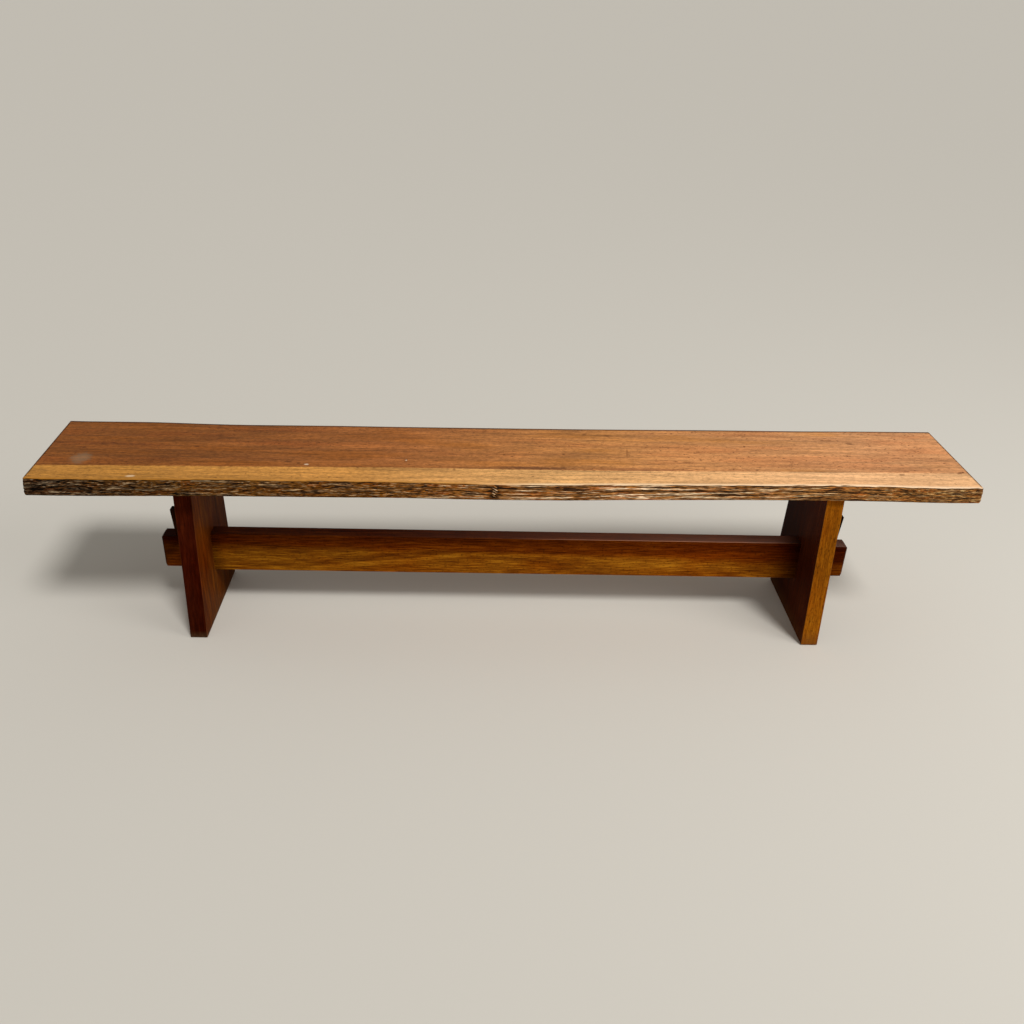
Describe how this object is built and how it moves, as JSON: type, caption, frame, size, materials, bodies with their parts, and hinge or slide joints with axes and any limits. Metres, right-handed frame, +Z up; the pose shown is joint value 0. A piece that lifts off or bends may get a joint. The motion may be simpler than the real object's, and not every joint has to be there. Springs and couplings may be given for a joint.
{
  "type": "trestle bench",
  "caption": "Long backless bench: a live-edge plank on upright slab legs, tied by a rail whose through tenons are locked outside the legs by lift-out tapered wedges.",
  "frame": {"origin": "on the floor, under the middle of the plank's bounding box", "axes": "+X along the bench, -Y towards the plank's live edge, +Z up"},
  "size_m": [2.2076, 0.3602, 0.45],
  "materials": {
    "plank_wood": "satin oil over a smooth top, rough natural live edge",
    "leg_wood": "satin oil",
    "rail_wood": "satin oil",
    "wedge_wood": "satin oil",
    "dowel_wood": "bare"
  },
  "bodies": {
    "frame": {"seat_plank": "plank_wood", "left_leg": "leg_wood", "right_leg": "leg_wood", "stretcher_rail": "rail_wood", "left_leg_dowels": "dowel_wood", "right_leg_dowels": "dowel_wood"},
    "left_wedge": {"left_wedge": "wedge_wood"},
    "right_wedge": {"right_wedge": "wedge_wood"}
  },
  "joints": [
    {"name": "left_wedge_lift", "type": "slide", "parent": "frame", "child": "left_wedge", "axis": [0, 0, 1], "range_m": [0, 0.118]},
    {"name": "right_wedge_lift", "type": "slide", "parent": "frame", "child": "right_wedge", "axis": [0, 0, 1], "range_m": [0, 0.107]}
  ]
}
